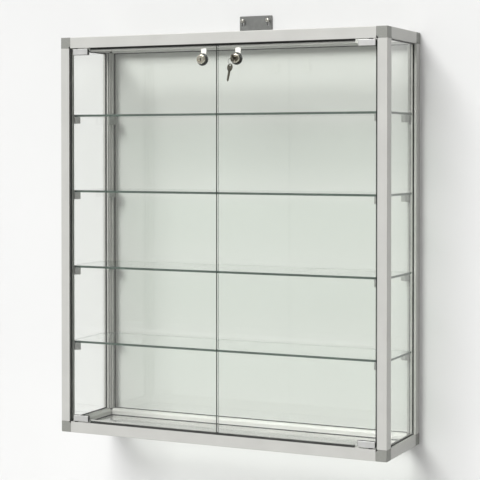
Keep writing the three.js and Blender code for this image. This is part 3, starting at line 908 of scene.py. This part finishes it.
def add_split_ring(matrix):
    """Two turns of round wire side by side, with its ends overlapping."""
    wire_radius = RING_WIRE / 2 - 0.01
    turns, steps, sides = 1.97, 120, 10
    shape = bmesh.new()
    rings = []
    for step in range(steps + 1):
        angle = 2 * math.pi * turns * step / steps + 0.4
        off = RING_WIRE * (step / steps - 0.5)
        outward = Vector((math.cos(angle), 0, math.sin(angle)))
        centre = outward * RING_RADIUS + Vector((0, off, -RING_RADIUS))
        ring = []
        for side in range(sides):
            turn = 2 * math.pi * side / sides
            sideways = Vector((0, wire_radius * math.sin(turn), 0))
            point = centre + outward * (wire_radius * math.cos(turn)) + sideways
            ring.append(shape.verts.new(matrix @ point))
        rings.append(ring)
    add_rings(shape, rings, closed=False)
    bmesh.ops.transform(shape, matrix=to_frame(), verts=shape.verts)
    add_piece("key_ring", shape, KEY, "spare_key", 60)


def add_keys():
    """The key in the right lock, and the spare that hangs from it on a ring."""
    centre = lock_centre("right")
    shoulder = Matrix.Translation(centre + Vector((0, KEY_SHOULDER, 0)))
    add_key("inserted_key", IN_LOCK_BLADE, shoulder, "lock_key", "lock_key")

    to_hole = KEY_NECK + KEY_BOW + KEY_HOLE_OUT
    ring_place = centre + Vector((0, KEY_SHOULDER - to_hole, -RING_DROP))
    hang = Matrix.Translation(ring_place) @ Matrix.Rotation(RING_TILT, 4, "Y")
    below = Matrix.Translation((0, 0, -2 * RING_RADIUS - (KEY_HOLE - RING_WIRE + 0.1)))
    down = Matrix.Rotation(SPARE_TWIST, 4, "Z") @ Matrix.Rotation(-math.pi / 2, 4, "X")
    spare = hang @ below @ down @ Matrix.Translation((0, to_hole, 0))
    add_key("spare_key", SPARE_BLADE, spare, "spare_key", "spare_key_on_ring")
    add_split_ring(hang)


# ---- wall bracket screws ------------------------------------------------------------------------

FOOT_THICKNESS = 3.0
FOOT_SCREW_X = 24.0
FOOT_SCREW_Y = 9.5


def add_wall_screw(side):
    """A pan-head screw with a cross recess, standing a little proud of the bracket."""
    low, high = extent(f"wall_screw_{side}")
    centre = Vector(((low.x + high.x) / 2, 0, (low.z + high.z) / 2))
    radius = (high.x - low.x) / 2
    crown = low.y
    under = crown + 3.5
    recess = [
        (cross_outline(radius * 0.66, 1.5), crown + 0.05), (cross_outline(radius * 0.62, 1.3), crown + 0.3),
        (cross_outline(radius * 0.4, 1.1), crown + 2.2),
    ]
    profile = [
        (2.35, high.y), (2.35, under), (radius - 0.3, under), (radius, under - 0.3), (radius, under - 1.3),
        (radius * 0.9, under - 2.5), (radius * 0.7, under - 3.2), *recess,
    ]
    shape = bmesh.new()
    turned(shape, profile, centre, steps=96)
    add_piece(f"pan_head_screw_{side}", shape, SCREW, "cabinet", 30, f"wall_screw_{side}")


def add_leg_screws():
    """Two button heads that hold the bracket's foot to the top rear rail."""
    low, high = extent("wall_bracket")
    top = HEIGHT + CLEAR + FOOT_THICKNESS
    socket = hexagon(1.6)
    shape = bmesh.new()
    for hand in (-1, 1):
        centre = Vector(((low.x + high.x) / 2 + hand * FOOT_SCREW_X, low.y + FOOT_SCREW_Y, 0))
        profile = [
            (4.2, top + 0.03), (4.4, top + 0.4), (4.1, top + 1.1), (3.2, top + 1.8), (2.2, top + 2.1),
            (socket, top + 2.1), (socket, top + 0.8),
        ]
        turned(shape, profile, centre, "Z", 48)
    add_piece("bracket_foot_screws", shape, SCREW, "cabinet", 30)


# ---- stage and light ----------------------------------------------------------------------------

# In metres
FLOOR_DROP = 0.7
STAGE_HALF = 7.0
WALL_BEHIND = 0.0005
WALL_OPEN_WITHIN = 0.004


def add_stage():
    """A pale wall and a pale floor. The wall's back is open, so that the showcase can be seen from
    behind, and so are its first millimetres, so that light reaches the faces that lie on it."""
    wall_paint = new_material("pale_wall", Roughness=0.9)
    vary_colour(wall_paint, noise(wall_paint, 1.5), (0.735, 0.735, 0.733), (0.765, 0.765, 0.763))
    add_bump(wall_paint, noise(wall_paint, 250.0), 0.0002, 0.15)
    tree = wall_paint.node_tree
    side = add_node(wall_paint, "ShaderNodeNewGeometry")
    rays = add_node(wall_paint, "ShaderNodeLightPath")
    near = add_node(wall_paint, "ShaderNodeMath", operation="LESS_THAN")
    near.inputs[1].default_value = WALL_OPEN_WITHIN
    either = add_node(wall_paint, "ShaderNodeMath", operation="MAXIMUM")
    clear = add_node(wall_paint, "ShaderNodeBsdfTransparent")
    mix = add_node(wall_paint, "ShaderNodeMixShader")
    wire(wall_paint, rays.outputs["Ray Length"], near.inputs[0])
    wire(wall_paint, near.outputs["Value"], either.inputs[0])
    wire(wall_paint, side.outputs["Backfacing"], either.inputs[1])
    wire(wall_paint, either.outputs["Value"], mix.inputs["Fac"])
    wire(wall_paint, shader_of(wall_paint).outputs["BSDF"], mix.inputs[1])
    wire(wall_paint, clear.outputs["BSDF"], mix.inputs[2])
    wire(wall_paint, mix.outputs["Shader"], tree.nodes["Material Output"].inputs["Surface"])
    floor_paint = new_material("pale_floor", Roughness=0.75)
    vary_colour(floor_paint, noise(floor_paint, 2.0), (0.46, 0.46, 0.455), (0.50, 0.50, 0.495))

    floor_z = cad_low.z - FLOOR_DROP
    half = STAGE_HALF
    for name, paint, corners in (
        ("wall", wall_paint, [(-half, floor_z), (half, floor_z), (half, half), (-half, half)]),
        ("floor", floor_paint, [(-half, -half), (half, -half), (half, half), (-half, half)]),
    ):
        if name == "wall":
            points = [(x, cad_high.y + WALL_BEHIND, z) for x, z in corners]
        else:
            points = [(x, y, floor_z) for x, y in corners]
        mesh = bpy.data.meshes.new(name)
        mesh.from_pydata(points, [], [(0, 1, 2, 3)])
        mesh.materials.append(paint)
        plane = bpy.data.objects.new(name, mesh)
        bpy.context.scene.collection.objects.link(plane)


WORLD_MEAN = 0.42
WORLD_SLOPE = (-0.38, 0.08, 0.12)
WORLD_LEAST = 0.03
BACKDROP = 0.62
SUN_FROM = (-0.24, -0.75, 0.68)
SUN_ANGLE = math.radians(34)
SUN_STRENGTH = 3.2


def add_world():
    """A soft studio that is bright on the left and above, and dim on the right. Seen past the
    wall or through glass, it is a plain backdrop."""
    world = bpy.data.worlds.new("studio")
    world.use_nodes = True
    tree = world.node_tree
    place = tree.nodes.new("ShaderNodeTexCoord")
    slope = tree.nodes.new("ShaderNodeVectorMath")
    slope.operation = "DOT_PRODUCT"
    slope.inputs[1].default_value = WORLD_SLOPE
    mean = tree.nodes.new("ShaderNodeMath")
    mean.operation = "ADD"
    mean.inputs[1].default_value = WORLD_MEAN
    least = tree.nodes.new("ShaderNodeMath")
    least.operation = "MAXIMUM"
    least.inputs[1].default_value = WORLD_LEAST
    background = tree.nodes["Background"]
    background.inputs["Color"].default_value = (1.0, 1.0, 0.985, 1)
    tree.links.new(place.outputs["Generated"], slope.inputs[0])
    tree.links.new(slope.outputs["Value"], mean.inputs[0])
    tree.links.new(mean.outputs["Value"], least.inputs[0])
    rays = tree.nodes.new("ShaderNodeLightPath")
    seen = tree.nodes.new("ShaderNodeMath")
    seen.operation = "MAXIMUM"
    tree.links.new(rays.outputs["Is Camera Ray"], seen.inputs[0])
    tree.links.new(rays.outputs["Is Transmission Ray"], seen.inputs[1])
    strength = tree.nodes.new("ShaderNodeMix")
    strength.inputs["B"].default_value = BACKDROP
    tree.links.new(seen.outputs["Value"], strength.inputs["Factor"])
    tree.links.new(least.outputs["Value"], strength.inputs["A"])
    tree.links.new(strength.outputs["Result"], background.inputs["Strength"])
    bpy.context.scene.world = world


def add_lights():
    """A wide sun from the front left gives the soft shadows."""
    add_world()
    data = bpy.data.lights.new("key", "SUN")
    data.energy = SUN_STRENGTH
    data.angle = SUN_ANGLE
    lamp = bpy.data.objects.new("key", data)
    bpy.context.scene.collection.objects.link(lamp)
    lamp.rotation_euler = Vector(SUN_FROM).to_track_quat("Z", "Y").to_euler()
    bpy.context.scene.view_settings.view_transform = "Standard"


# ---- build --------------------------------------------------------------------------------------

add_camera()
dress_frame()
dress_glass()
dress_hardware()
add_gaskets()
add_slot_shade_strips()
add_door_seals_and_gap_shade()
add_shelf_pads()
for side in SIDES:
    for end in ENDS:
        add_clamp_parts(side, end)
    add_lock_housing(side)
    add_lock_nut(side)
    add_lock_plug(side)
    add_wall_screw(side)
add_keys()
add_leg_screws()
add_stage()
add_lights()
